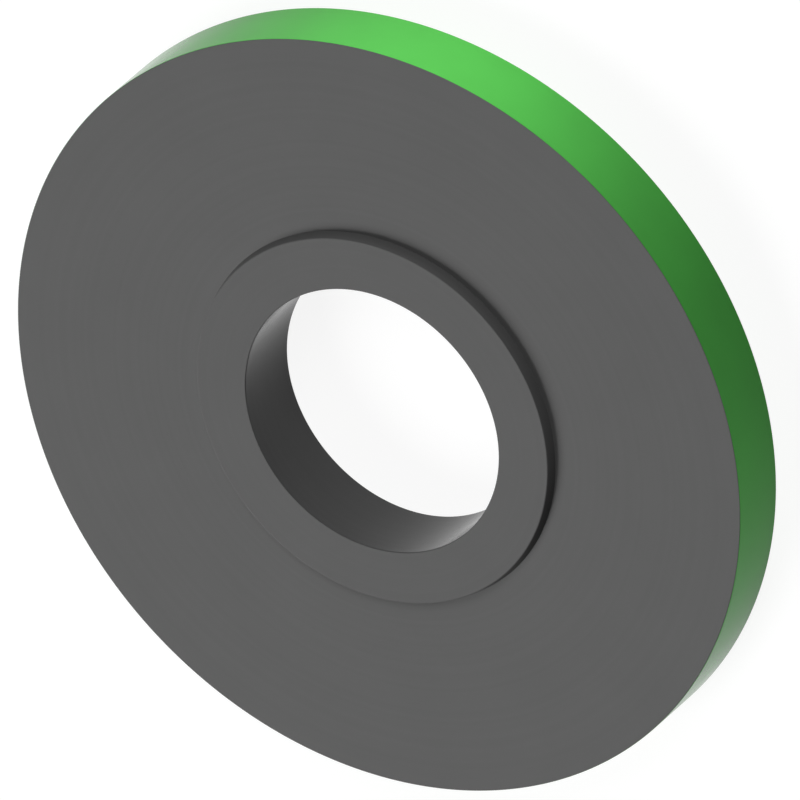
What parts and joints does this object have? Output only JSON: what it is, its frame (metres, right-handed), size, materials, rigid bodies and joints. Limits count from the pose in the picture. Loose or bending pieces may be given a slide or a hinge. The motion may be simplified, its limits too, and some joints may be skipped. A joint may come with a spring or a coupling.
{
  "type": "spacer ring",
  "caption": "Flat turned spacer ring with a straight bore, a low raised hub round the bore on one face and a green rim.",
  "frame": {"origin": "centre of the bore on the plain back face, which the ring lies on", "axes": "+Z along the bore's axis, out of the face with the hub; X and Y are free, because the ring is round"},
  "size_m": [0.08, 0.08, 0.008],
  "materials": {
    "ring_steel": "satin"
  },
  "bodies": {
    "root": {"spacer_ring": "ring_steel"}
  },
  "joints": []
}
